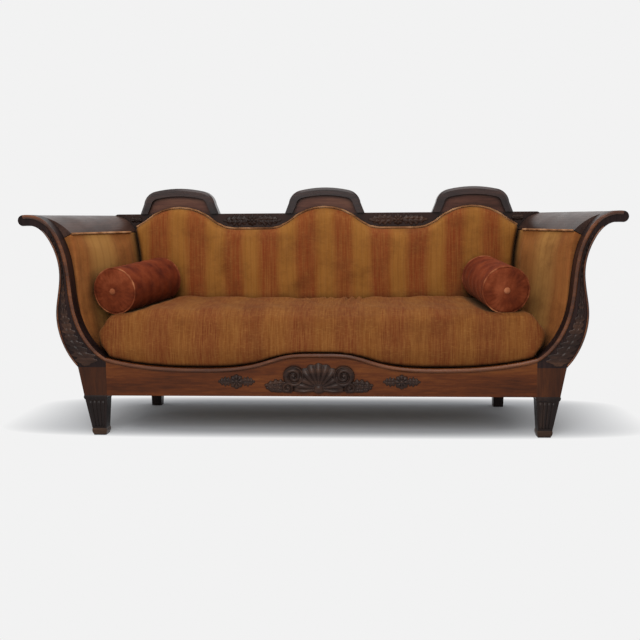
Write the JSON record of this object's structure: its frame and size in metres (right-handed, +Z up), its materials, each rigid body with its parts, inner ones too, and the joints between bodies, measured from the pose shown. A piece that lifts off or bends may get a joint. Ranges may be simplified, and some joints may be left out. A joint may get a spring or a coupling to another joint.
{
  "type": "sofa",
  "caption": "Antique three-arched settee with out-scrolled arms, carved serpentine rail, tapered feet, striped seat and back, and loose bolsters.",
  "frame": {"origin": "on the floor, under the middle of the whole settee", "axes": "+X along the length, to the right as seen from the front; +Y towards the back, so the front faces -Y; +Z up"},
  "size_m": [2.2498, 0.632, 0.9549],
  "materials": {
    "mahogany": "french-polished mahogany, worn along its edges",
    "dark_mahogany": "dark polished mahogany with a cool sheen",
    "carved_mahogany": "carved mahogany, darkened in its hollows",
    "pine": "sawn pine, unfinished",
    "striped_fabric": "striped upholstery cloth in gold-tan and rust",
    "piping_cord": "woven gimp",
    "rust_velvet": "rust-red cut velvet",
    "button_fabric": "covered button, paler",
    "outer_cloth": "plain woven outside cloth",
    "jute": "jute webbing and hessian",
    "linen": "linen over stuffing"
  },
  "bodies": {
    "frame": {"arm_beads": "mahogany", "back_bottom_rail": "pine", "back_muntins": "pine", "back_pad": "striped_fabric", "back_piping": "piping_cord", "back_webbing": "jute", "centre_carving": "carved_mahogany", "corner_blocks": "pine", "crest_caps": "dark_mahogany", "crest_leaves": "carved_mahogany", "crest_rail": "mahogany", "front_rail": "mahogany", "front_rail_bead": "mahogany", "knee_leaves": "carved_mahogany", "left_arm_core": "pine", "left_arm_facing": "mahogany", "left_arm_pad": "striped_fabric", "left_arm_roll": "mahogany", "left_back_stile": "mahogany", "left_front_leg": "mahogany", "left_outside_arm": "outer_cloth", "left_rear_leg": "mahogany", "left_rosette": "carved_mahogany", "left_side_rail": "mahogany", "outside_back": "outer_cloth", "rear_rail": "mahogany", "right_arm_core": "pine", "right_arm_facing": "mahogany", "right_arm_pad": "striped_fabric", "right_arm_roll": "mahogany", "right_back_stile": "mahogany", "right_front_leg": "mahogany", "right_outside_arm": "outer_cloth", "right_rear_leg": "mahogany", "right_rosette": "carved_mahogany", "right_side_rail": "mahogany", "seat_braces": "pine", "seat_deck": "linen", "seat_hessian": "jute", "seat_webbing": "jute"},
    "squab": {"seat_squab": "striped_fabric"},
    "left_bolster": {"left_bolster": "rust_velvet", "left_bolster_buttons": "button_fabric"},
    "right_bolster": {"right_bolster": "rust_velvet", "right_bolster_buttons": "button_fabric"}
  },
  "joints": [
    {"name": "squab_lift", "type": "slide", "parent": "frame", "child": "squab", "axis": [0, 0, 1], "range_m": [0, 0.72]},
    {"name": "left_bolster_lift", "type": "slide", "parent": "squab", "child": "left_bolster", "axis": [0, 0, 1], "range_m": [0, 0.5]},
    {"name": "right_bolster_lift", "type": "slide", "parent": "squab", "child": "right_bolster", "axis": [0, 0, 1], "range_m": [0, 0.5]}
  ]
}
